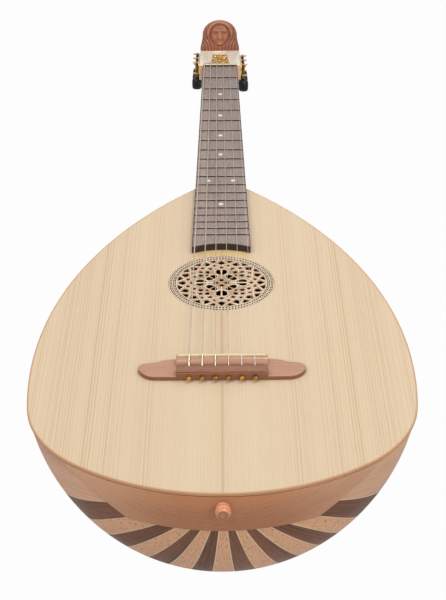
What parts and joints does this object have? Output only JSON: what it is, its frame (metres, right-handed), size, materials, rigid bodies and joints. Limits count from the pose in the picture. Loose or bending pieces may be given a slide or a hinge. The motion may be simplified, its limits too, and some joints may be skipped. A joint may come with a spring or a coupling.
{
  "type": "steel-string lute guitar",
  "caption": "Lute guitar with a ribbed bowl back, flat pear-shaped soundboard, pierced rose, fretted neck and a tilted slotted headstock with worm-gear tuners and a carved head.",
  "frame": {"origin": "middle of the strap button's end face at the tail", "axes": "+Y along the neck to the carved head, +Z out of the soundboard, +X to the right of someone who looks along +Y"},
  "size_m": [0.328, 0.9878, 0.166],
  "materials": {
    "spruce": "satin varnish",
    "pale_rib_wood": "satin varnish",
    "dark_rib_wood": "satin varnish",
    "clasp_wood": "satin varnish",
    "neck_wood": "satin varnish",
    "rosewood": "oiled",
    "bridge_wood": "oiled",
    "tie_bar_wood": "oiled",
    "bone": "polished bone",
    "string_steel": "drawn and wound wire",
    "brass": "polished",
    "carved_wood": "stained and varnished",
    "black_knob": "polished"
  },
  "bodies": {
    "guitar": {"soundboard": "spruce", "rose": "spruce", "rib_01": "pale_rib_wood", "rib_02": "dark_rib_wood", "rib_03": "pale_rib_wood", "rib_04": "dark_rib_wood", "rib_05": "pale_rib_wood", "rib_06": "dark_rib_wood", "rib_07": "pale_rib_wood", "rib_08": "dark_rib_wood", "rib_09": "pale_rib_wood", "rib_10": "dark_rib_wood", "rib_11": "pale_rib_wood", "rib_12": "dark_rib_wood", "rib_13": "pale_rib_wood", "rib_14": "dark_rib_wood", "rib_15": "pale_rib_wood", "rib_16": "dark_rib_wood", "rib_17": "pale_rib_wood", "end_clasp": "clasp_wood", "strap_button": "clasp_wood", "tail_block": "neck_wood", "neck_block": "neck_wood", "soundboard_bar_1": "spruce", "soundboard_bar_2": "spruce", "soundboard_bar_3": "spruce", "neck": "neck_wood", "fingerboard": "rosewood", "nut": "bone", "bridge": "bridge_wood", "bridge_tie_bar": "tie_bar_wood", "saddle": "bone", "string_1": "string_steel", "string_2": "string_steel", "string_3": "string_steel", "string_4": "string_steel", "string_5": "string_steel", "string_6": "string_steel", "headstock": "neck_wood", "carved_finial": "carved_wood", "tuner_plate_left": "brass", "tuner_plate_right": "brass"},
    "worm_1": {"worm_shaft_1": "brass", "knob_1": "black_knob"},
    "worm_2": {"worm_shaft_2": "brass", "knob_2": "black_knob"},
    "worm_3": {"worm_shaft_3": "brass", "knob_3": "black_knob"},
    "worm_4": {"worm_shaft_4": "brass", "knob_4": "black_knob"},
    "worm_5": {"worm_shaft_5": "brass", "knob_5": "black_knob"},
    "worm_6": {"worm_shaft_6": "brass", "knob_6": "black_knob"},
    "wheel_1": {"roller_1": "brass"},
    "wheel_2": {"roller_2": "brass"},
    "wheel_3": {"roller_3": "brass"},
    "wheel_4": {"roller_4": "brass"},
    "wheel_5": {"roller_5": "brass"},
    "wheel_6": {"roller_6": "brass"}
  },
  "joints": [
    {"name": "tuner_1", "type": "hinge", "parent": "guitar", "child": "worm_1", "pos_m": [0.0296, 0.85037, 0.00861], "axis": [0, 0.225, 0.9744], "continuous": true},
    {"name": "tuner_2", "type": "hinge", "parent": "guitar", "child": "worm_2", "pos_m": [0.0296, 0.88447, 0.00074], "axis": [0, 0.225, 0.9744], "continuous": true},
    {"name": "tuner_3", "type": "hinge", "parent": "guitar", "child": "worm_3", "pos_m": [0.0296, 0.91857, -0.00714], "axis": [0, 0.225, 0.9744], "continuous": true},
    {"name": "tuner_4", "type": "hinge", "parent": "guitar", "child": "worm_4", "pos_m": [-0.0296, 0.93562, -0.01107], "axis": [0, 0.225, 0.9744], "continuous": true},
    {"name": "tuner_5", "type": "hinge", "parent": "guitar", "child": "worm_5", "pos_m": [-0.0296, 0.90152, -0.0032], "axis": [0, 0.225, 0.9744], "continuous": true},
    {"name": "tuner_6", "type": "hinge", "parent": "guitar", "child": "worm_6", "pos_m": [-0.0296, 0.86742, 0.00467], "axis": [0, 0.225, 0.9744], "continuous": true},
    {"name": "roller_turn_1", "type": "hinge", "parent": "guitar", "child": "wheel_1", "pos_m": [0, 0.85787, 0.00688], "axis": [1, 0, 0], "continuous": true},
    {"name": "roller_turn_2", "type": "hinge", "parent": "guitar", "child": "wheel_2", "pos_m": [0, 0.89197, -0.001], "axis": [1, 0, 0], "continuous": true},
    {"name": "roller_turn_3", "type": "hinge", "parent": "guitar", "child": "wheel_3", "pos_m": [0, 0.92607, -0.00887], "axis": [1, 0, 0], "continuous": true},
    {"name": "roller_turn_4", "type": "hinge", "parent": "guitar", "child": "wheel_4", "pos_m": [0, 0.94313, -0.01281], "axis": [1, 0, 0], "continuous": true},
    {"name": "roller_turn_5", "type": "hinge", "parent": "guitar", "child": "wheel_5", "pos_m": [0, 0.90902, -0.00493], "axis": [1, 0, 0], "continuous": true},
    {"name": "roller_turn_6", "type": "hinge", "parent": "guitar", "child": "wheel_6", "pos_m": [0, 0.87492, 0.00294], "axis": [1, 0, 0], "continuous": true}
  ],
  "couplings": [
    {"joint": "tuner_1", "follows": "roller_turn_1", "ratio": 14},
    {"joint": "tuner_2", "follows": "roller_turn_2", "ratio": 14},
    {"joint": "tuner_3", "follows": "roller_turn_3", "ratio": 14},
    {"joint": "tuner_4", "follows": "roller_turn_4", "ratio": 14},
    {"joint": "tuner_5", "follows": "roller_turn_5", "ratio": 14},
    {"joint": "tuner_6", "follows": "roller_turn_6", "ratio": 14}
  ]
}
